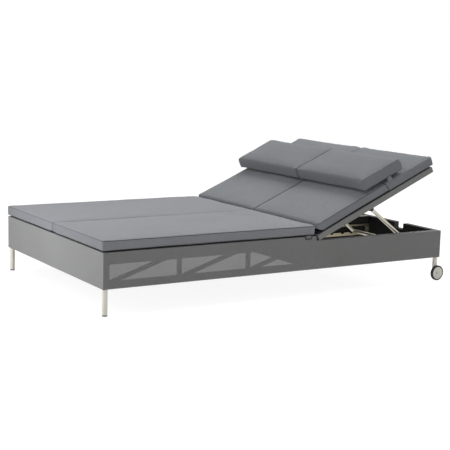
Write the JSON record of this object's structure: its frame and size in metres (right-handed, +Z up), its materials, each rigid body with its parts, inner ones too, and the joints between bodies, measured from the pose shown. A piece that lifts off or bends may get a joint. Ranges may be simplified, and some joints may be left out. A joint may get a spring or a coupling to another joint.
{
  "type": "double chaise lounger",
  "caption": "Double chaise lounger: mesh-clad boxed frame, legs at the foot, wheels at the head, hinged backrests held up by support bows, box cushions and head pillows.",
  "frame": {"origin": "bottom centre of the bounding box: floor level, middle of the length and width", "axes": "+X towards the head end, +Z up, +Y towards the right-hand half for someone who lies on it looking up at the sky with the head at +X"},
  "size_m": [2.105, 1.2554, 0.705],
  "materials": {
    "frame_steel": "satin paint over steel tube",
    "woven_mesh": "open coated weave, slightly see-through",
    "black_cloth": "close black cloth",
    "leg_paint": "satin",
    "glide_rubber": "matt",
    "bright_steel": "satin",
    "tyre_rubber": "matt",
    "wheel_plastic": "matt",
    "deck_mesh": "stretched sling weave",
    "black_steel": "matt black powder coat",
    "back_frame": "mesh-clad tube, satin",
    "stainless_steel": "satin stainless",
    "cushion_cloth": "plain outdoor weave",
    "pillow_cloth": "plain outdoor weave",
    "tab_cloth": "webbing"
  },
  "bodies": {
    "base": {"left_top_rail": "frame_steel", "right_top_rail": "frame_steel", "left_head_rail": "frame_steel", "right_head_rail": "frame_steel", "left_bottom_rail": "frame_steel", "right_bottom_rail": "frame_steel", "corner_posts": "frame_steel", "side_posts": "frame_steel", "side_braces": "frame_steel", "foot_top_rail": "frame_steel", "head_top_rail": "frame_steel", "end_bottom_rails": "frame_steel", "centre_rails": "frame_steel", "centre_head_rail": "frame_steel", "centre_posts": "frame_steel", "cross_rails": "frame_steel", "left_side_mesh": "woven_mesh", "right_side_mesh": "woven_mesh", "foot_end_mesh": "woven_mesh", "head_end_mesh": "woven_mesh", "long_liners": "black_cloth", "head_liners": "black_cloth", "mid_liners": "black_cloth", "legs": "leg_paint", "wheel_legs": "leg_paint", "leg_glides": "glide_rubber", "wheel_axles": "bright_steel", "hinge_pins": "bright_steel", "plate_bolts": "bright_steel", "plate_spacers": "bright_steel", "left_seat_deck": "deck_mesh", "right_seat_deck": "deck_mesh", "hinge_brackets": "black_steel", "left_outer_slot_plate": "stainless_steel", "right_outer_slot_plate": "stainless_steel", "left_inner_slot_plate": "stainless_steel", "right_inner_slot_plate": "stainless_steel", "left_seat_cushion": "cushion_cloth", "right_seat_cushion": "cushion_cloth", "cushion_tabs": "tab_cloth"},
    "left_wheel": {"left_tyre": "tyre_rubber", "left_wheel_disc": "wheel_plastic"},
    "left_backrest": {"left_back_side_bars": "back_frame", "left_back_cross_bars": "back_frame", "left_back_deck": "deck_mesh", "left_bow_brackets": "black_steel", "left_back_cushion": "cushion_cloth", "left_hood": "pillow_cloth", "left_pillow": "pillow_cloth"},
    "left_bow": {"left_bow": "stainless_steel"},
    "right_wheel": {"right_tyre": "tyre_rubber", "right_wheel_disc": "wheel_plastic"},
    "right_backrest": {"right_back_side_bars": "back_frame", "right_back_cross_bars": "back_frame", "right_back_deck": "deck_mesh", "right_bow_brackets": "black_steel", "right_back_cushion": "cushion_cloth", "right_hood": "pillow_cloth", "right_pillow": "pillow_cloth"},
    "right_bow": {"right_bow": "stainless_steel"}
  },
  "joints": [
    {"name": "left_back_hinge", "type": "hinge", "parent": "base", "child": "left_backrest", "pos_m": [0.1875, -0.3, 0.297], "axis": [0, -1, 0], "range_deg": [-23.65, 16.35]},
    {"name": "left_bow_hinge", "type": "hinge", "parent": "left_backrest", "child": "left_bow", "pos_m": [0.56812, -0.3, 0.42002], "axis": [0, -1, 0], "range_deg": [-37.61, 54.19]},
    {"name": "left_wheel_spin", "type": "hinge", "parent": "base", "child": "left_wheel", "pos_m": [1.0105, -0.6202, 0.042], "axis": [0, 1, 0], "continuous": true},
    {"name": "right_back_hinge", "type": "hinge", "parent": "base", "child": "right_backrest", "pos_m": [0.1875, 0.3, 0.297], "axis": [0, -1, 0], "range_deg": [-23.65, 16.35]},
    {"name": "right_bow_hinge", "type": "hinge", "parent": "right_backrest", "child": "right_bow", "pos_m": [0.56812, 0.3, 0.42002], "axis": [0, -1, 0], "range_deg": [-37.61, 54.19]},
    {"name": "right_wheel_spin", "type": "hinge", "parent": "base", "child": "right_wheel", "pos_m": [1.0105, 0.6202, 0.042], "axis": [0, 1, 0], "continuous": true}
  ],
  "couplings": [
    {"joint": "left_bow_hinge", "follows": "left_back_hinge", "ratio": -2.27},
    {"joint": "right_bow_hinge", "follows": "right_back_hinge", "ratio": -2.27}
  ]
}
